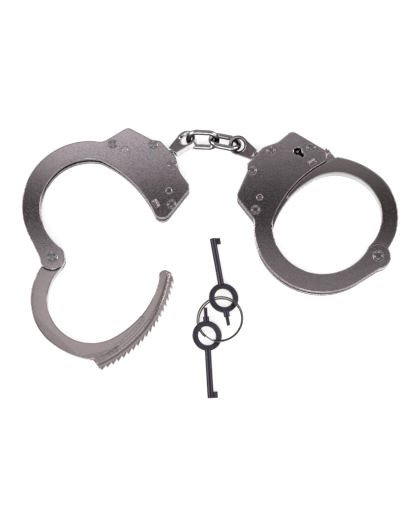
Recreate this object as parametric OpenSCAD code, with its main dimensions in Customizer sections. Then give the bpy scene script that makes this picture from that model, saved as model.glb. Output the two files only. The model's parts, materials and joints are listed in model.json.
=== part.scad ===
/* [Cuff] */
// Thickness over both cheek plates of a cuff
cuff_thickness = 9.6; // [9.4:0.1:10.4]
// Thickness of one cheek plate
cheek_thickness = 2.4; // [2.2:0.1:2.5]
// Thickness of the jaw where it closes round the wrist
jaw_thickness = 7.2; // [6:0.1:7.4]
// Thickness of the jaw's toothed strip, which runs between the cheeks
strip_thickness = 4.4; // [3.8:0.1:4.5]
// Radius of the round end of the cheek plates at the hinge
hinge_round = 7; // [6.9:0.05:7.2]
// Play of the jaw's bore round the hinge rivet
hinge_play = 0.06; // [0.03:0.01:0.1]

/* [Ratchet] */
// Number of teeth on the jaw
tooth_count = 20; // [16:1:20]
// Angle between two teeth, seen from the hinge
tooth_pitch = 2.86; // [2.86:0.01:2.87]
// Radius of the tips of the jaw's teeth, from the hinge
tooth_tip = 68.6; // [68.2:0.1:68.7]
// Radius of the roots of the jaw's teeth, from the hinge
tooth_root = 67; // [66.9:0.05:67.1]

/* [Rivets] */
// Radius of the case rivets' shanks
rivet_r = 1.5; // [1.2:0.1:1.6]
// Radius of the case rivets' flared heads
rivet_head_r = 2.35; // [2.2:0.05:2.6]
// Radius of the hinge rivet's shank
hinge_rivet_r = 2; // [1.8:0.1:2.1]
// Radius of the hinge rivet's flared head
hinge_head_r = 2.9; // [2.7:0.05:3.2]

/* [Chain] */
// Diameter of the chain links' wire
link_wire = 3.1; // [2.8:0.1:3.2]
// Length of a chain link between the middles of its two end wires
link_pitch = 16; // [15.8:0.1:16.2]
// Width of a chain link between the middles of its two side wires
link_width = 9.9; // [9.6:0.1:10.2]
// Thickness of a swivel's head
swivel_thickness = 4; // [3.8:0.1:4.6]
// Radius of the eye in a swivel's head
swivel_eye_r = 3.3; // [3.1:0.05:3.4]

/* [Keys] */
// Outer radius of a key's bow
bow_r = 8.3; // [8:0.1:8.5]
// Radius of the hole in a key's bow
bow_hole_r = 5.25; // [5:0.05:5.5]
// Thickness of a key's bow
bow_thickness = 1.8; // [1.4:0.1:1.9]
// Radius of a key's barrel
barrel_r = 1.75; // [1.6:0.05:1.8]
// Distance from the middle of the bow to the end of the barrel
barrel_end = 34.2; // [30:0.1:36]
// Outer radius of the split ring
ring_r = 12.8; // [12.6:0.1:12.9]
// Width of the split ring's band
ring_band = 1.3; // [1:0.1:1.5]
// Height of the split ring's two coils together
ring_height = 2; // [1.6:0.1:2.1]

/* [Left cuff] */
// Angle by which the left cuff's jaw stands open
left_jaw_open = 84; // [80:1:88]

/* [Hidden] */
$fn = 48;

// Colours of the metals
cheek_colour = [0.62, 0.60, 0.62];
jaw_colour = [0.70, 0.69, 0.71];
lock_colour = [0.45, 0.45, 0.48];
rivet_colour = [0.80, 0.79, 0.80];
chain_colour = [0.82, 0.81, 0.82];
key_colour = [0.27, 0.26, 0.30];
ring_colour = [0.75, 0.73, 0.73];

// Heights through a cuff's thickness
mid = cuff_thickness / 2;
gap_low = cheek_thickness;
gap_high = cuff_thickness - cheek_thickness;

// Places in a cuff, from the hinge, which is at 0, 0
rivet_spots = [[-36, 62.4], [-58.5, 60.7], [-69.1, 49], [-67.4, 26.4]];
key_spot = [-43.55, 60.2];
keyhole_r = 2.25;
key_slot = [4.4, 2];
key_slot_turn = -43;
post_r = 0.9;
post_top = cuff_thickness - 1.2;
post_foot_r = 1.65;
pawl_spot = [-65.06, 33.56];
guide_angle = 123.5;
guide_r = 64.5;
swivel_face = [-66.2, 58.9];
swivel_turn = 140.5;
swivel_pivot = -2.75;
swivel_bore_r = 2.15;
swivel_stem_r = 1.8;
swivel_button_r = 2.35;
swivel_button = [-7.9, -6];
swivel_collar = [0.5, 1.8];
swivel_collar_r = 2.4;
swivel_eye = 12;
swivel_head_r = 5.5;

// The lock's pocket in the housing, from the hinge
housing_inner_r = 69.6;
pocket_r = 78.2;
key_chamber_r = 4.5;

// Play between pieces that are fixed together, and how far small pins stop below the cheeks' faces
fit = 0.02;
sink = 0.05;

// Double-lock bar, on a line tangent to a circle round the hinge
bar_angle = 138;
bar_r = 76.15;
bar_length = 13;

// Pawl, lifted clear of the teeth at rest
pawl_lift = 5.1;
pawl_pin_r = 1;
pawl_pin_head_r = 1.6;
pawl_boss_r = 2.6;
first_pawl_tooth = 133.42;

// The two cuffs, the chain and the keys as they lie; the origin is under the middle of the whole
centre = [0.03, 0.39, 0];
right_hinge = [92.58, 2.3, 0] - centre;
left_hinge = [-86.81, 1.77, 0] - centre;
left_turn = -95.24;

// How each loose swivel leans and rolls in its seat
right_lean = 6.5;
right_roll = -20;
left_lean = -3;
left_roll = 25;

function polar(r, a) = [r * cos(a), r * sin(a)];
function unit(v) = v / norm(v);

// Points on an arc with middle c and radius r, from angle a to angle b
function arc(c, r, a, b, n) = [for (i = [0:n]) c + polar(r, a + (b - a) * i / n)];

// Points that round off the corner q between p and s with radius r
function rounded(p, q, s, r, n = 4) =
  let (u = unit(p - q), v = unit(s - q), half = acos(u * v) / 2)
  let (c = q + unit(u + v) * r / sin(half))
  let (from = q + u * r / tan(half) - c, to = q + v * r / tan(half) - c)
  let (a = atan2(from.y, from.x), turn = (atan2(to.y, to.x) - a + 540) % 360 - 180)
  arc(c, r, a, a + turn, n);

// The same closed outline, drawn in by d; the outline runs counter-clockwise
function inset(line, d) =
  [for (i = [0:len(line) - 1])
    let (before = line[(i + len(line) - 1) % len(line)], after = line[(i + 1) % len(line)])
    let (u = unit(after - before))
    line[i] + d * [-u.y, u.x]];

// Corners of the lock case, each with its x, y and rounding
case_corners = [
  [-27.2, 55, 4.2], [-27.4, 60.3, 4.3], [-46.6, 72.3, 3.5], [-54.5, 65.4, 8], [-63, 62.4, 5],
  [-71.9, 52.6, 1.5], [-72, 48, 6], [-78.2, 33.8, 3.5], [-68, 20.5, 7]
];
wrist_arc_low = arc([-31, 17], 26.95, -112, -187, 18);
wrist_arc_lock = arc([0, 0], 61.2, 160.4, 119.9, 16);
outer_arc = arc([-31.2, 16.8], 37.2, 183, 306, 30);

function corner_xy(i) =
  i < 0 ? wrist_arc_lock[16] : i >= len(case_corners) ? outer_arc[0]
  : [case_corners[i].x, case_corners[i].y];

// Outline of a cheek plate
cheek_outline = concat(
  arc([0, 0], hinge_round, -84, 157, 20),
  arc([-30.7, 19.2], 29.3, -40, -110, 16),
  wrist_arc_low,
  wrist_arc_lock,
  [for (i = [0:len(case_corners) - 1])
    each rounded(corner_xy(i - 1), corner_xy(i), corner_xy(i + 1), case_corners[i].z)],
  outer_arc
);

// Outline of the jaw when it is closed
jaw_outline = concat(
  arc([-19.7, 23.3], 31.5, -36, 40, 18),
  arc([-28, 12.8], 44.8, 45.5, 81.5, 12),
  [polar(61.3, 111.5), polar(67.3, 112.8)],
  [for (i = [0:tooth_count - 1]) let (a = 113.4 + tooth_pitch * i)
    each [polar(tooth_root, a - 0.1), polar(tooth_tip, a), polar(tooth_root, a + tooth_pitch - 0.1)]],
  arc([-62.1, 11.5], 3.9, 175, 345, 10),
  arc([-11.7, 2.55], 48, 167.2, 114.3, 18),
  arc([-22.2, 23.4], 24.7, 112, -47, 32)
);

// Outline of the pawl as it bites, from the hinge: its tail, two teeth, boss and back
pawl_outline = concat(
  [polar(69.4, 127.8)],
  [for (i = [0:1]) let (a = first_pawl_tooth + tooth_pitch * i)
    each [polar(69.2, a - 2.7), polar(67.55, a - 0.45), polar(69.2, a - 0.3)]],
  [for (a = [138:3:147]) polar(69.3, a)],
  arc(pawl_spot, pawl_boss_r, -5, -225, 20),
  [for (a = [149:-3:131]) polar(72.4, a)],
  [polar(71.5, 127.9)]
);

// A flat outline made solid from height low to height high
module plate(low, high) {
  translate([0, 0, low])
    linear_extrude(height = high - low)
      children();
}

// A slice of the plane between two angles, seen from the hinge
module wedge(from, to) {
  polygon([[0, 0], polar(150, from), polar(150, (from + to) / 2), polar(150, to)]);
}

module ring_area(inner, outer) {
  difference() {
    circle(r = outer, $fn = 180);
    circle(r = inner, $fn = 180);
  }
}

// Space of one rivet: a shank with a flared head at both ends
module rivet_space(r, head_r) {
  flare = head_r - r;
  translate([0, 0, -0.01])
    cylinder(h = cuff_thickness + 0.02, r = r + fit);
  for (side = [0, 1])
    translate([0, 0, side * cuff_thickness])
      mirror([0, 0, side])
        translate([0, 0, -0.001])
          cylinder(h = flare + 0.001, r1 = head_r + fit, r2 = r + fit);
}

// Pin spread into countersinks at both ends, where it stops below the faces by depth
module spread_pin(r, head_r, depth) {
  length = cuff_thickness - 2 * depth;
  translate([0, 0, depth])
    cylinder(h = length, r = r);
  for (side = [0, 1])
    translate([0, 0, side * cuff_thickness])
      mirror([0, 0, side])
        translate([0, 0, depth])
          cylinder(h = head_r - r - depth, r1 = head_r - depth, r2 = r);
}

// One rivet, with a round groove about the button in the middle of each head
module rivet(r, head_r) {
  groove = [0.5, 0.86] * head_r;
  difference() {
    spread_pin(r, head_r, 0);
    for (side = [0, 1])
      translate([0, 0, side * cuff_thickness])
        rotate_extrude()
          translate([(groove[0] + groove[1]) / 2, 0])
            circle(r = (groove[1] - groove[0]) / 2);
  }
}

// Hollow that a punch leaves outside the rib that guides the jaw
module guide_hollow() {
  translate([guide_r * cos(guide_angle), guide_r * sin(guide_angle), -0.7])
    rotate([0, 0, guide_angle])
      rotate([90, 0, 0])
        cylinder(h = 4, r = 1.5, center = true);
}

// Rib that guides the jaw, from the cheek's inner face into the jaw's groove
module guide_rib() {
  intersection() {
    plate(gap_low - 0.2, gap_low + 0.6)
      ring_area(guide_r - 0.4, guide_r + 0.4);
    translate([guide_r * cos(guide_angle), guide_r * sin(guide_angle), gap_low])
      rotate([0, 0, guide_angle])
        cube([3, 4, 3], center = true);
  }
}

// One cheek plate with its inner face up, and its rib and rivet holes
module cheek() {
  difference() {
    union() {
      plate(0, cheek_thickness)
        polygon(cheek_outline);
      guide_rib();
    }
    rivet_space(hinge_rivet_r, hinge_head_r);
    for (spot = rivet_spots)
      translate(spot)
        rivet_space(rivet_r, rivet_head_r);
    translate(pawl_spot)
      rivet_space(pawl_pin_r, pawl_pin_head_r);
    guide_hollow();
  }
}

module back_cheek() {
  difference() {
    cheek();
    translate(key_spot) {
      translate([0, 0, -1])
        cylinder(h = cheek_thickness + 2, r = post_r + fit);
      translate([0, 0, -0.001])
        cylinder(h = post_foot_r - post_r, r1 = post_foot_r + fit, r2 = post_r + fit);
    }
  }
}

// Front cheek: the back one turned over, with the keyhole
module front_cheek() {
  difference() {
    translate([0, 0, cuff_thickness])
      mirror([0, 0, 1])
        cheek();
    translate([key_spot.x, key_spot.y, gap_high - 1]) {
      cylinder(h = cheek_thickness + 2, r = keyhole_r);
      rotate([0, 0, key_slot_turn])
        translate([0, -key_slot.y / 2, 0])
          cube([key_slot.x, key_slot.y, cheek_thickness + 2]);
    }
  }
}

// Block between the cheeks that makes the lock's walls and the swivel's seat
module lock_housing() {
  difference() {
    plate(gap_low, gap_high)
      difference() {
        intersection() {
          polygon(inset(cheek_outline, 0.3));
          wedge(116.5, 163);
          ring_area(housing_inner_r, 100);
        }
        intersection() {
          ring_area(housing_inner_r - 1, pocket_r);
          wedge(123.5, 155.5);
        }
        translate(key_spot)
          circle(r = key_chamber_r);
        for (spot = rivet_spots)
          translate(spot)
            circle(r = rivet_r + fit);
      }
    translate([swivel_face.x, swivel_face.y, mid])
      rotate([0, 0, swivel_turn])
        swivel_seat();
    translate([bar_r * cos(bar_angle), bar_r * sin(bar_angle), mid])
      rotate([0, 0, bar_angle])
        rotate([90, 0, 0])
          cylinder(h = 30, r = 1.25);
  }
}

// Bore for the swivel's stem and the pocket for the head inside the case
module swivel_seat() {
  pocket = [2.9, 6, 6];
  rotate([0, -90, 0])
    cylinder(h = 20, r = swivel_bore_r, center = true);
  translate([swivel_button[0] - 0.5, -pocket.y / 2, -pocket.z / 2])
    cube(pocket);
}

module case_rivets() {
  for (spot = rivet_spots)
    translate(spot)
      rivet(rivet_r, rivet_head_r);
}

// Post that the hollow barrel of a key fits over
module key_post() {
  translate(key_spot) {
    translate([0, 0, sink])
      cylinder(h = post_top - sink, r = post_r);
    translate([0, 0, sink])
      cylinder(h = post_foot_r - post_r - sink, r1 = post_foot_r - sink, r2 = post_r);
    translate([0, 0, post_top])
      cylinder(h = 0.5, r1 = post_r, r2 = post_r - 0.4);
  }
}

module pawl_pivot() {
  translate(pawl_spot)
    spread_pin(pawl_pin_r, pawl_pin_head_r, sink);
}

// Leaf spring between the housing and the pawl's back
module pawl_spring() {
  color(lock_colour)
    plate(gap_low + 0.6, gap_high - 0.6)
      polygon([polar(78.1, 152), polar(74.3, 145), polar(74.9, 144.8), polar(78.1, 150.8)]);
}

// Pawl with its two teeth, lifted about its pivot
module pawl() {
  translate(pawl_spot)
    rotate([0, 0, pawl_lift])
      translate(-pawl_spot)
        plate(gap_low + 0.3, gap_high - 0.3)
          difference() {
            polygon(pawl_outline);
            translate(pawl_spot)
              circle(r = pawl_pin_r + 0.05);
          }
}

module double_lock_bar() {
  rotate([0, 0, bar_angle])
    translate([bar_r, 0, mid])
      cube([1.7, bar_length, 3.6], center = true);
}

// Jaw: a thick bow, and a thinner root and toothed strip that run between the cheeks
module jaw() {
  difference() {
    union() {
      plate(mid - strip_thickness / 2, mid + strip_thickness / 2) {
        polygon(jaw_outline);
        circle(r = hinge_round - 0.1);
      }
      plate(mid - jaw_thickness / 2, mid + jaw_thickness / 2)
        difference() {
          intersection() {
            polygon(jaw_outline);
            circle(r = 60.9, $fn = 180);
          }
          circle(r = hinge_round + 0.4);
          wedge(145.5, 185);
        }
    }
    translate([0, 0, -1])
      cylinder(h = cuff_thickness + 2, r = hinge_rivet_r + hinge_play);
    for (side = [-1, 1])
      plate(mid + side * strip_thickness / 2 - 0.7, mid + side * strip_thickness / 2 + 0.7)
        ring_area(guide_r - 0.65, guide_r + 0.65);
  }
}

// Outline of a swivel's head, from the case's face along its axis
swivel_outline = concat(
  [[1.7, -3.2]],
  arc([swivel_eye, 0], swivel_head_r, -120, 120, 20),
  [[1.7, 3.2]]
);

// A round length of a swivel, from one place on its axis to another
module swivel_round(from, to, r) {
  translate([from, 0, 0])
    rotate([0, 90, 0])
      cylinder(h = to - from, r = r);
}

// Swivel: a stem with a button inside the case, a collar, and a flat head with an eye
module swivel(lean, roll) {
  translate([swivel_face.x, swivel_face.y, mid])
    rotate([0, 0, swivel_turn])
      translate([swivel_pivot, 0, 0])
        rotate([roll, 0, lean])
          translate([-swivel_pivot, 0, 0])
            difference() {
              union() {
                swivel_round(swivel_button[0], swivel_button[1], swivel_button_r);
                swivel_round(swivel_button[0], swivel_collar[1] + 0.1, swivel_stem_r);
                swivel_round(swivel_collar[0], swivel_collar[1], swivel_collar_r);
                plate(-swivel_thickness / 2, swivel_thickness / 2)
                  polygon(swivel_outline);
              }
              translate([swivel_eye, 0, 0])
                swivel_eye_space();
            }
}

// Eye of a swivel, wider towards both faces
module swivel_eye_space() {
  depth = 1.2;
  cylinder(h = swivel_thickness + 2, r = swivel_eye_r, center = true);
  for (side = [0, 1])
    mirror([0, 0, side])
      translate([0, 0, swivel_thickness / 2 - depth])
        cylinder(h = depth + 0.1, r1 = swivel_eye_r, r2 = swivel_eye_r + 1.1);
}

// Chain link: two half rings joined by two straight wires
module chain_link() {
  straight = link_pitch - link_width;
  for (side = [0, 1])
    mirror([side, 0, 0])
      translate([straight / 2, 0, 0])
        rotate([0, 0, -90])
          rotate_extrude(angle = 180)
            translate([link_width / 2, 0])
              circle(d = link_wire);
  for (side = [-1, 1])
    translate([0, side * link_width / 2, 0])
      rotate([0, 90, 0])
        cylinder(h = straight, d = link_wire, center = true);
}

// Key bow, in its own frame: its middle at 0, 0 and the barrel towards +Y
module key_bow() {
  difference() {
    cylinder(h = bow_thickness, r = bow_r, center = true, $fn = 96);
    cylinder(h = bow_thickness + 1, r = bow_hole_r, center = true, $fn = 64);
  }
}

// Hollow barrel with its bit, slotted over the bow
module key_barrel() {
  difference() {
    union() {
      translate([0, bow_r - 0.9, 0])
        rotate([-90, 0, 0])
          cylinder(h = barrel_end - bow_r + 0.9, r = barrel_r);
      translate([0, barrel_end - 3.5, -0.65])
        cube([4, 3.5, 1.3]);
    }
    cylinder(h = bow_thickness, r = bow_r, center = true, $fn = 96);
    translate([0, barrel_end - 11, 0])
      rotate([-90, 0, 0])
        cylinder(h = 12, r = 1.1);
  }
}

// Collar and pin opposite the barrel, which push the double-lock bar
module key_lock_pin() {
  difference() {
    union() {
      translate([0, -bow_r + 0.7, 0])
        rotate([90, 0, 0])
          cylinder(h = 3, r = 1.7);
      translate([0, -bow_r - 2, 0])
        rotate([90, 0, 0])
          cylinder(h = 5.3, r = 1);
    }
    cylinder(h = bow_thickness, r = bow_r, center = true, $fn = 96);
  }
}

module place_right() {
  translate(right_hinge)
    children();
}

// The left cuff lies the other way up, with its keyhole underneath
module place_left() {
  translate(left_hinge)
    rotate([0, 0, left_turn])
      translate([0, 0, cuff_thickness])
        mirror([0, 0, 1])
          children();
}

// Puts a key, or the ring, at a place with its heading, its slope and its roll
module place(spot, heading, slope, roll) {
  translate(spot - centre)
    rotate([0, 0, heading])
      rotate([slope, 0, 0])
        rotate([0, roll, 0])
          children();
}

module place_upper_key() {
  place([7.5, -19.9, 3], 10, -0.7, 14.7)
    children();
}

module place_lower_key() {
  place([-1.6, -41.1, 3.45], -176.7, -1.9, 162)
    children();
}

// Puts a link at a place with its heading, its slope and its tilt about its length
module place_link(spot, heading, slope, tilt) {
  translate(spot - centre)
    rotate([0, 0, heading])
      rotate([0, slope, 0])
        rotate([tilt, 0, 0])
          children();
}

module right_front_cheek() {
  place_right()
    color(cheek_colour)
      front_cheek();
}

module right_back_cheek() {
  place_right()
    color(cheek_colour)
      back_cheek();
}

module right_lock_housing() {
  place_right()
    color(lock_colour)
      lock_housing();
}

module right_case_rivets() {
  place_right()
    color(rivet_colour)
      case_rivets();
}

module right_hinge_rivet() {
  place_right()
    color(rivet_colour)
      rivet(hinge_rivet_r, hinge_head_r);
}

module right_key_post() {
  place_right()
    color(lock_colour)
      key_post();
}

module right_pawl_pivot() {
  place_right()
    color(lock_colour)
      pawl_pivot();
}

module right_pawl_spring() {
  place_right()
    color(lock_colour)
      pawl_spring();
}

module right_pawl() {
  place_right()
    color(lock_colour)
      pawl();
}

module right_double_lock_bar() {
  place_right()
    color(lock_colour)
      double_lock_bar();
}

module right_jaw() {
  place_right()
    color(jaw_colour)
      jaw();
}

module right_swivel() {
  place_right()
    color(chain_colour)
      swivel(right_lean, right_roll);
}

module left_front_cheek() {
  place_left()
    color(cheek_colour)
      front_cheek();
}

module left_back_cheek() {
  place_left()
    color(cheek_colour)
      back_cheek();
}

module left_lock_housing() {
  place_left()
    color(lock_colour)
      lock_housing();
}

module left_case_rivets() {
  place_left()
    color(rivet_colour)
      case_rivets();
}

module left_hinge_rivet() {
  place_left()
    color(rivet_colour)
      rivet(hinge_rivet_r, hinge_head_r);
}

module left_key_post() {
  place_left()
    color(lock_colour)
      key_post();
}

module left_pawl_pivot() {
  place_left()
    color(lock_colour)
      pawl_pivot();
}

module left_pawl_spring() {
  place_left()
    color(lock_colour)
      pawl_spring();
}

module left_pawl() {
  place_left()
    color(lock_colour)
      pawl();
}

module left_double_lock_bar() {
  place_left()
    color(lock_colour)
      double_lock_bar();
}

module left_jaw() {
  place_left()
    rotate([0, 0, -left_jaw_open])
      color(jaw_colour)
        jaw();
}

module left_swivel() {
  place_left()
    color(chain_colour)
      swivel(left_lean, left_roll);
}

module right_chain_link() {
  place_link([8.41, 69.22, 5.13], -8.6, 9.7, -36.8)
    color(chain_colour)
      chain_link();
}

module left_chain_link() {
  place_link([-4.05, 70.22, 6.18], -3.2, 0.1, 52.6)
    color(chain_colour)
      chain_link();
}

module split_ring() {
  translate([5.5, -32, 3.75] - centre)
    rotate([0, 0, -25])
      rotate([0, -11, 0])
        color(ring_colour)
          difference() {
            cylinder(h = ring_height, r = ring_r, center = true, $fn = 96);
            cylinder(h = ring_height + 1, r = ring_r - ring_band, center = true, $fn = 96);
          }
}

module upper_key_barrel() {
  place_upper_key()
    color(key_colour)
      key_barrel();
}

module upper_key_bow() {
  place_upper_key()
    color(key_colour)
      key_bow();
}

module upper_key_lock_pin() {
  place_upper_key()
    color(key_colour)
      key_lock_pin();
}

module lower_key_barrel() {
  place_lower_key()
    color(key_colour)
      key_barrel();
}

module lower_key_bow() {
  place_lower_key()
    color(key_colour)
      key_bow();
}

module lower_key_lock_pin() {
  place_lower_key()
    color(key_colour)
      key_lock_pin();
}

right_front_cheek();
right_back_cheek();
right_lock_housing();
right_case_rivets();
right_hinge_rivet();
right_key_post();
right_pawl_pivot();
right_pawl_spring();
right_pawl();
right_double_lock_bar();
right_jaw();
right_swivel();
left_front_cheek();
left_back_cheek();
left_lock_housing();
left_case_rivets();
left_hinge_rivet();
left_key_post();
left_pawl_pivot();
left_pawl_spring();
left_pawl();
left_double_lock_bar();
left_jaw();
left_swivel();
right_chain_link();
left_chain_link();
split_ring();
upper_key_barrel();
upper_key_bow();
upper_key_lock_pin();
lower_key_barrel();
lower_key_bow();
lower_key_lock_pin();
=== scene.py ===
"""Looks of a pair of handcuffs with two keys: metals, bright edges, the split ring, light and camera."""

import json
import math

import bmesh
import bpy
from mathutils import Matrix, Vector


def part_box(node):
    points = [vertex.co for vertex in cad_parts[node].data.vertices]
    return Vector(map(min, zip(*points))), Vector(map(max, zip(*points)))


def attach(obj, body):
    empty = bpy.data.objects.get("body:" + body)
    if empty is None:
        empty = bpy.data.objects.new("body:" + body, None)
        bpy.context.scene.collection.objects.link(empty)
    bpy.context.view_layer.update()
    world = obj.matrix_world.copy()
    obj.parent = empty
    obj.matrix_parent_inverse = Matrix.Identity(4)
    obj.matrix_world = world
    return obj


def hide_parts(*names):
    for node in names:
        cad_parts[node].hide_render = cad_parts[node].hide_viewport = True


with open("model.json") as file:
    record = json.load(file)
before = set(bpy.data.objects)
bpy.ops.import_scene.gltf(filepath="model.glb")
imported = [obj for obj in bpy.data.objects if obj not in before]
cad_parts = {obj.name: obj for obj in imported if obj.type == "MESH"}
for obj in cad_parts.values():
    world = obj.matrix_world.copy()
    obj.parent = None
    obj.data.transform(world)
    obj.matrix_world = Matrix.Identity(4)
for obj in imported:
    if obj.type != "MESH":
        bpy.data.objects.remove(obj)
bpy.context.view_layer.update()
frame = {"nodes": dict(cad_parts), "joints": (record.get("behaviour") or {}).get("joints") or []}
nodes = frame["nodes"]
MM = 0.001


# Shader nodes

# Sockets of a colour Mix node: its two colours, and its result
COLOUR_A, COLOUR_B, COLOUR_OUT = 6, 7, 2


def shader_nodes(name):
    """A new material, its node tree and its Principled shader."""
    material = bpy.data.materials.new(name)
    material.use_nodes = True
    tree = material.node_tree
    return material, tree, tree.nodes["Principled BSDF"]


def add(tree, kind, **values):
    """A node of this kind; each value goes to the input socket or the property of that name."""
    node = tree.nodes.new(kind)
    for key, value in values.items():
        if key in node.inputs:
            node.inputs[key].default_value = value
        else:
            setattr(node, key, value)
    return node


def ramp(tree, source, stops):
    """Colour ramp driven by a socket; stops are pairs of place and grey or colour."""
    node = tree.nodes.new("ShaderNodeValToRGB")
    tree.links.new(source, node.inputs[0])
    elements = node.color_ramp.elements
    while len(elements) < len(stops):
        elements.new(0.5)
    for element, (place, colour) in zip(elements, stops):
        element.position = place
        element.color = (colour,) * 3 + (1,) if isinstance(colour, float) else (*colour, 1)
    return node.outputs["Color"]


def noise(tree, scale, detail):
    """Noise in the object's own space, in cycles a metre."""
    place = tree.nodes.new("ShaderNodeTexCoord").outputs["Object"]
    node = add(tree, "ShaderNodeTexNoise", Scale=scale, Detail=detail)
    tree.links.new(place, node.inputs["Vector"])
    return node.outputs["Fac"]


def mix(tree, factor, first, second):
    """Mix of two colours by a socket; each colour is a socket or three numbers."""
    node = add(tree, "ShaderNodeMix", data_type="RGBA")
    tree.links.new(factor, node.inputs["Factor"])
    for slot, colour in ((COLOUR_A, first), (COLOUR_B, second)):
        if isinstance(colour, bpy.types.NodeSocket):
            tree.links.new(colour, node.inputs[slot])
        else:
            node.inputs[slot].default_value = (*colour, 1)
    return node.outputs[COLOUR_OUT]


def multiply(tree, first, second):
    """Product of two colours."""
    node = add(tree, "ShaderNodeMix", data_type="RGBA", blend_type="MULTIPLY")
    node.inputs["Factor"].default_value = 1.0
    tree.links.new(first, node.inputs[COLOUR_A])
    tree.links.new(second, node.inputs[COLOUR_B])
    return node.outputs[COLOUR_OUT]


def maths(tree, operation, first, second=None):
    """A maths node on sockets or numbers."""
    node = tree.nodes.new("ShaderNodeMath")
    node.operation = operation
    for socket, value in zip(node.inputs, (first, second)):
        if isinstance(value, bpy.types.NodeSocket):
            tree.links.new(value, socket)
        elif value is not None:
            socket.default_value = value
    return node.outputs[0]


def spread_ramp(tree, source, stops, low, high):
    """A ramp whose stops lie between low and high in place of 0 and 1."""
    share = maths(tree, "DIVIDE", maths(tree, "SUBTRACT", source, low), high - low)
    return ramp(tree, share, [((place - low) / (high - low), value) for place, value in stops])


# Metals

CLOUD_SCALE = 45
CLOUDS = [(0.3, 0.0), (0.7, 1.0)]
SPECKLE_SCALE = 1500
SPECKLE = [(0.34, 0.55), (0.55, 1.0)]
RUBBED = [(0.5, 0.0), (0.56, 1.0)]
RUBBED_GAIN = 1.25
# Painted shade along rounded edges, by how far the rounded normal turns from the face's own
PAINTED_EDGE_DARKENING = [(0.84, 0.08), (0.94, 1.0)]
GRAIN_DEPTH = 0.2 * MM
EDGE_SAMPLES = 8


def level_of(tree, normal):
    """How level a surface lies in its own piece's frame: 1 on flat faces, 0 on upright walls."""
    turned = add(
        tree, "ShaderNodeVectorTransform",
        vector_type="NORMAL", convert_from="WORLD", convert_to="OBJECT",
    )
    tree.links.new(normal, turned.inputs[0])
    split = tree.nodes.new("ShaderNodeSeparateXYZ")
    tree.links.new(turned.outputs[0], split.inputs[0])
    return maths(tree, "ABSOLUTE", split.outputs["Z"])


def painted_slope_shade(tree, rounded, painted_wall_tone):
    """Painted shade: darker colour between upright walls and level faces, with the upright walls painted
    at a brightness of their own.
    """
    return ramp(tree, level_of(tree, rounded), [(0.0, painted_wall_tone), (0.06, 0.1), (0.68, 0.06), (0.84, 1.0)])


def painted_edge_shade(tree, plain, rounded):
    """Painted shade: a dark line where the rounded edge turns away from the faces beside it."""
    turn = add(tree, "ShaderNodeVectorMath", operation="DOT_PRODUCT")
    tree.links.new(rounded, turn.inputs[0])
    tree.links.new(plain, turn.inputs[1])
    return ramp(tree, turn.outputs["Value"], PAINTED_EDGE_DARKENING)


def metal(name, base, worn, roughness, grain=0.02, grain_scale=900, edge=0.3, painted_wall_tone=0.15):
    """
    Plated metal: cloudy, speckled colour, uneven polish and a fine grain. Its edges look rounded over
    edge millimetres, or not at all if edge is 0. Painted shade darkens them by slope, with upright
    walls painted at a brightness of their own, or paints a dark line along the edge alone if no wall
    brightness is given.
    """
    material, tree, shader = shader_nodes(name)
    shader.inputs["Metallic"].default_value = 1.0
    plain = tree.nodes.new("ShaderNodeNewGeometry").outputs["Normal"]
    rounded = plain
    if edge:
        rounded = add(tree, "ShaderNodeBevel", samples=EDGE_SAMPLES, Radius=edge * MM).outputs["Normal"]

    clouds = ramp(tree, noise(tree, CLOUD_SCALE, 3.0), CLOUDS)
    speckle = ramp(tree, noise(tree, SPECKLE_SCALE, 2.0), SPECKLE)
    colour = multiply(tree, mix(tree, clouds, base, worn), speckle)
    pointed = tree.nodes.new("ShaderNodeNewGeometry").outputs["Pointiness"]
    bright = tuple(min(1.0, c * RUBBED_GAIN) for c in worn)
    colour = mix(tree, ramp(tree, pointed, RUBBED), colour, bright)
    if edge:
        # Painted shade: slopes and edges darkened, and walls given a painted brightness, in place of dark
        # and light reflections
        shade = painted_slope_shade(tree, rounded, painted_wall_tone) if painted_wall_tone else painted_edge_shade(tree, plain, rounded)
        colour = multiply(tree, colour, shade)
    tree.links.new(colour, shader.inputs["Base Color"])

    fine = noise(tree, grain_scale, 3.0)
    low, high = roughness
    tree.links.new(ramp(tree, fine, [(0.3, low), (0.7, high)]), shader.inputs["Roughness"])
    bump = add(tree, "ShaderNodeBump", Strength=grain, Distance=GRAIN_DEPTH)
    tree.links.new(fine, bump.inputs["Height"])
    tree.links.new(rounded, bump.inputs["Normal"])
    tree.links.new(bump.outputs["Normal"], shader.inputs["Normal"])
    return material


# The wall values are painted brightness of upright walls, standing in for their shade and reflections
CHEEK = metal(
    "cheek_nickel", (0.70, 0.60, 0.645), (0.76, 0.66, 0.705), (0.07, 0.12),
    grain=0.025, grain_scale=1700, edge=1.0, painted_wall_tone=0.12,
)
JAW = metal(
    "jaw_nickel", (0.58, 0.48, 0.495), (0.64, 0.54, 0.555), (0.07, 0.12),
    grain=0.02, grain_scale=1700, edge=1.0, painted_wall_tone=(0.56, 0.68, 0.66),
)
LOCK = metal("lock_steel", (0.32, 0.30, 0.32), (0.42, 0.40, 0.42), (0.30, 0.45))
RIVET = metal(
    "rivet_nickel", (0.46, 0.42, 0.44), (0.54, 0.50, 0.52), (0.09, 0.14),
    grain=0.0, grain_scale=2500, edge=0,
)
CHAIN = metal("chain_nickel", (0.62, 0.58, 0.60), (0.74, 0.70, 0.72), (0.05, 0.10), painted_wall_tone=0.1)
PIVOT = metal(
    "pivot_nickel", (0.74, 0.64, 0.685), (0.80, 0.70, 0.745), (0.09, 0.14),
    grain=0.025, grain_scale=1700, edge=0,
)
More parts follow.
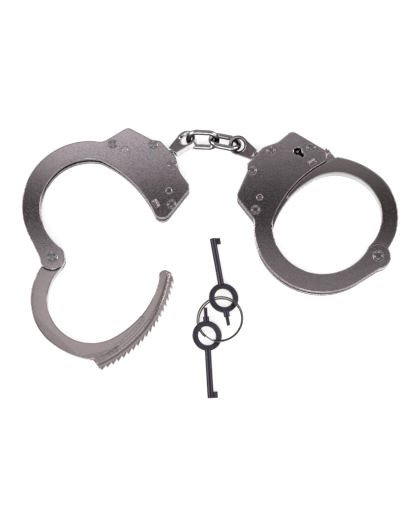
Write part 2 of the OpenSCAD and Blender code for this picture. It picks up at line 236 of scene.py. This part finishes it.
# One swivel nickel as a lit copy and a shaded copy: the lighter and darker base colours are painted light
# and shade
SWIVEL_PAINTED_LIT = metal(
    "swivel_nickel_painted_lit", (0.62, 0.58, 0.60), (0.70, 0.66, 0.68), (0.06, 0.12),
    edge=0.9, painted_wall_tone=None,
)
SWIVEL_PAINTED_SHADED = metal(
    "swivel_nickel_painted_shaded", (0.34, 0.29, 0.31), (0.42, 0.37, 0.39), (0.06, 0.12),
    edge=0.9, painted_wall_tone=None,
)
KEY = metal(
    "key_steel", (0.06, 0.052, 0.075), (0.09, 0.08, 0.105), (0.28, 0.38),
    grain=0.05, grain_scale=1500, edge=0.4,
)
RING = metal("ring_nickel", (0.13, 0.12, 0.11), (0.20, 0.18, 0.17), (0.08, 0.14), grain=0.0, edge=0)

# Metal of a CAD node, by the end of its name; "ring" also takes in the springs inside the locks
METALS = {
    "cheek": CHEEK, "jaw": JAW, "rivets": RIVET, "rivet": RIVET, "key_post": CHAIN,
    "pawl_pivot": PIVOT, "left_swivel": SWIVEL_PAINTED_LIT, "right_swivel": SWIVEL_PAINTED_SHADED,
    "link": CHAIN, "ring": RING,
}


def material_of(node):
    """Which metal a CAD node is finished in."""
    for ending, material in METALS.items():
        if node.endswith(ending):
            return material
    return KEY if "_key_" in node else LOCK


for name, piece in nodes.items():
    piece.data.materials.clear()
    piece.data.materials.append(material_of(name))


# Rounded edges on the CAD pieces, as tumbled and plated parts have

# Width of the edges in millimetres, by the end of a node's name
EDGES = {
    "cheek": 0.4, "jaw": 0.45, "swivel": 0.6, "housing": 0.15,
    "bow": 0.35, "barrel": 0.2, "pin": 0.2,
}
OTHER_EDGES = 0.1
EDGE_SEGMENTS = 3
WELD_DISTANCE = 2e-6
FLAT_ANGLE = math.radians(0.5)
SHARP_ANGLE = math.radians(32)


def round_edges(piece, width):
    """Welds a CAD mesh, clears the seams inside flat faces, and rounds its sharp edges."""
    weld = piece.modifiers.new("weld", "WELD")
    weld.merge_threshold = WELD_DISTANCE
    flat = piece.modifiers.new("flat", "DECIMATE")
    flat.decimate_type = "DISSOLVE"
    flat.angle_limit = FLAT_ANGLE
    bevel = piece.modifiers.new("bevel", "BEVEL")
    bevel.width = width
    bevel.segments = EDGE_SEGMENTS
    bevel.limit_method = "ANGLE"
    bevel.angle_limit = SHARP_ANGLE
    piece.modifiers.new("normals", "WEIGHTED_NORMAL")
    for face in piece.data.polygons:
        face.use_smooth = True


for name, piece in nodes.items():
    width = next((width for ending, width in EDGES.items() if name.endswith(ending)), OTHER_EDGES)
    round_edges(piece, width * MM)


# Split ring: two coils of flattened wire in place of the CAD band

WIRE_WIDTH = 0.75 * MM
COIL_PITCH = 1.0 * MM
WIRE_HALF_HEIGHT = 0.48 * MM
WIRE_CORNER = 0.28 * MM
CORNER_STEPS = 3
# Shift outwards of the lower coil and the upper one, and the gap from the CAD band's outer face
LOWER_COIL_SHIFT = -0.55 * MM
UPPER_COIL_SHIFT = 0.25 * MM
WIRE_MARGIN = 0.02 * MM
# Where the wire starts, how far it runs and where it climbs to the upper coil, in turns
WIRE_START = 0.02
WIRE_TURNS = 1.94
CLIMB_START = 0.94
CLIMB_TURNS = 0.12
SWEEP_STEPS = 240


def coil_section(turn, radius):
    """Corners of the wire's rounded section at a turn of the coil, in the ring's own frame."""
    climb = min(1.0, max(0.0, (turn - CLIMB_START) / CLIMB_TURNS))
    climb = climb * climb * (3 - 2 * climb)
    middle = (climb - 0.5) * COIL_PITCH
    radius += LOWER_COIL_SHIFT + climb * (UPPER_COIL_SHIFT - LOWER_COIL_SHIFT)
    direction = turn * 2 * math.pi
    points = []
    for across, up in ((1, 1), (-1, 1), (-1, -1), (1, -1)):
        start = math.atan2(up, across) - math.pi / 4
        for step in range(CORNER_STEPS + 1):
            angle = start + step * math.pi / 2 / CORNER_STEPS
            x = radius + across * (WIRE_WIDTH / 2 - WIRE_CORNER) + WIRE_CORNER * math.cos(angle)
            z = middle + up * (WIRE_HALF_HEIGHT - WIRE_CORNER) + WIRE_CORNER * math.sin(angle)
            points.append(Vector((x * math.cos(direction), x * math.sin(direction), z)))
    return points


def split_ring():
    """Sweeps the wire through two turns and puts it where the keys swing."""
    joint = next(j for j in frame["joints"] if j["name"] == "upper_key_swing")
    low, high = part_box("split_ring")
    radius = (high - low).y / 2 - WIRE_WIDTH / 2 - WIRE_MARGIN
    mesh = bmesh.new()
    rings = []
    for i in range(SWEEP_STEPS + 1):
        section = coil_section(WIRE_START + WIRE_TURNS * i / SWEEP_STEPS, radius)
        rings.append([mesh.verts.new(point) for point in section])
    count = len(rings[0])
    for before, after in zip(rings, rings[1:]):
        for k in range(count):
            beside = (k + 1) % count
            mesh.faces.new((before[k], before[beside], after[beside], after[k]))
    mesh.faces.new(rings[0])
    mesh.faces.new(list(reversed(rings[-1])))
    bmesh.ops.recalc_face_normals(mesh, faces=mesh.faces)
    data = bpy.data.meshes.new("split_ring_wire")
    mesh.to_mesh(data)
    mesh.free()
    for face in data.polygons:
        face.use_smooth = True
    wire = bpy.data.objects.new("split_ring_wire", data)
    bpy.context.scene.collection.objects.link(wire)
    wire.rotation_euler = Vector(joint["axis"]).to_track_quat("Z", "Y").to_euler()
    wire.location = joint["pos_m"]
    data.materials.append(RING)
    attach(wire, "split_ring")
    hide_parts("split_ring")


split_ring()


# Camera at the photograph's angle, looking down at the cuffs from the front

IMAGE_HEIGHT = 528
# The camera's focal length in pixels, and its pixels to a millimetre where it aims
FOCAL_PIXELS = 1500
SCALE = 1.8
SENSOR = 36
CLIP_END = 20
AIM = Vector((-0.00003, -0.00039, 0))
DISTANCE = FOCAL_PIXELS / SCALE * MM
TILT = math.radians(13)


def look_from(place, target, lens):
    """A camera at place that looks at target."""
    data = bpy.data.cameras.new("camera")
    camera = bpy.data.objects.new("camera", data)
    bpy.context.scene.collection.objects.link(camera)
    camera.location = place
    camera.rotation_euler = (target - place).to_track_quat("-Z", "Y").to_euler()
    data.lens = lens
    data.sensor_width = SENSOR
    data.clip_end = CLIP_END
    bpy.context.scene.camera = camera


BACK_OFF = DISTANCE * Vector((0, -math.sin(TILT), math.cos(TILT)))
look_from(AIM + BACK_OFF, AIM, SENSOR * FOCAL_PIXELS / IMAGE_HEIGHT)


# Pale floor, soft lights and a studio for the metal to reflect

FLOOR_HALF = 3.0
FLOOR_DROP = 0.1 * MM
FLOOR_WHITE = 0.92
FLOOR_ROUGHNESS = 0.9
FLOOR_GLOW = 0.62


def floor():
    """A wide white sheet under the object."""
    mesh = bpy.data.meshes.new("floor")
    corners = [(x * FLOOR_HALF, y * FLOOR_HALF, 0) for x, y in ((-1, -1), (1, -1), (1, 1), (-1, 1))]
    mesh.from_pydata(corners, [], [(0, 1, 2, 3)])
    sheet = bpy.data.objects.new("floor", mesh)
    bpy.context.scene.collection.objects.link(sheet)
    sheet.location.z = -FLOOR_DROP
    material, tree, shader = shader_nodes("floor")
    shader.inputs["Base Color"].default_value = (FLOOR_WHITE, FLOOR_WHITE, FLOOR_WHITE, 1)
    shader.inputs["Roughness"].default_value = FLOOR_ROUGHNESS
    shader.inputs["Emission Color"].default_value = (1, 1, 1, 1)
    shader.inputs["Emission Strength"].default_value = FLOOR_GLOW
    mesh.materials.append(material)


def area_light(name, place, size, power):
    """A square soft box that faces the object."""
    data = bpy.data.lights.new(name, "AREA")
    data.shape = "SQUARE"
    data.size = size
    data.energy = power
    light = bpy.data.objects.new(name, data)
    bpy.context.scene.collection.objects.link(light)
    light.location = place
    light.rotation_euler = (-Vector(place)).to_track_quat("-Z", "Y").to_euler()


# Brightness of the ceiling, by slope towards the back and by slope towards the right
CEILING_ALONG = [
    (0.10, 0.44), (0.17, 0.42), (0.20, 0.60), (0.222, 0.55), (0.240, 0.42), (0.253, 0.10),
    (0.262, 0.0), (0.283, 0.0), (0.296, 0.34), (0.310, 0.62), (0.325, 0.72), (0.40, 0.50),
]
ALONG_SPAN = (0.1, 0.4)
CEILING_ACROSS = [
    (-0.13, 0.3), (-0.1225, 0.8), (-0.118, 1.0), (-0.06, 0.95), (-0.03, 0.75), (0.03, 0.42), (0.12, 0.40),
]
ACROSS_SPAN = (-0.2, 0.2)
# Brightness of the room by height, and from its front, behind the camera, to its back
ROOM = [(0.0, 1.0), (0.10, 1.0), (0.16, 0.25), (0.42, 0.3), (0.62, 0.9), (0.80, 1.0), (0.86, 0.5)]
ROOM_FRONT = [(-0.4, 1.0), (-0.1, 0.3)]
FRONT_SPAN = (-0.5, 0.0)
ROOM_LEVEL = 1.4
# Height at which the room gives way to the ceiling, and the lowest height that has a slope
CEILING_EDGE = [(0.84, 0.0), (0.92, 1.0)]
LOWEST_SLOPE = 0.05


def studio():
    """A room white at the horizon, dark above it and bright again higher up, under a shaded ceiling."""
    world = bpy.data.worlds.new("studio")
    bpy.context.scene.world = world
    world.use_nodes = True
    tree = world.node_tree
    background = tree.nodes["Background"]
    direction = tree.nodes.new("ShaderNodeTexCoord").outputs["Generated"]
    split = tree.nodes.new("ShaderNodeSeparateXYZ")
    tree.links.new(direction, split.inputs[0])
    x, y, height = (split.outputs[axis] for axis in "XYZ")
    up = maths(tree, "MAXIMUM", height, LOWEST_SLOPE)
    bands = spread_ramp(tree, maths(tree, "DIVIDE", y, up), CEILING_ALONG, *ALONG_SPAN)
    sides = spread_ramp(tree, maths(tree, "DIVIDE", x, up), CEILING_ACROSS, *ACROSS_SPAN)
    ceiling = multiply(tree, bands, sides)
    front = spread_ramp(tree, y, ROOM_FRONT, *FRONT_SPAN)
    room = maths(tree, "MULTIPLY", ramp(tree, height, ROOM), front)
    room = maths(tree, "MULTIPLY", room, ROOM_LEVEL)
    overhead = ramp(tree, height, CEILING_EDGE)
    tree.links.new(mix(tree, overhead, room, ceiling), background.inputs["Color"])
    background.inputs["Strength"].default_value = 1.0


floor()
studio()
area_light("left_box", (-1.2, 0.3, 0.9), 0.9, 6)
area_light("right_box", (1.2, 0.5, 0.8), 0.7, 4)
area_light("front_box", (0.0, -1.4, 0.8), 0.8, 4)
bpy.context.scene.view_settings.view_transform = "Standard"
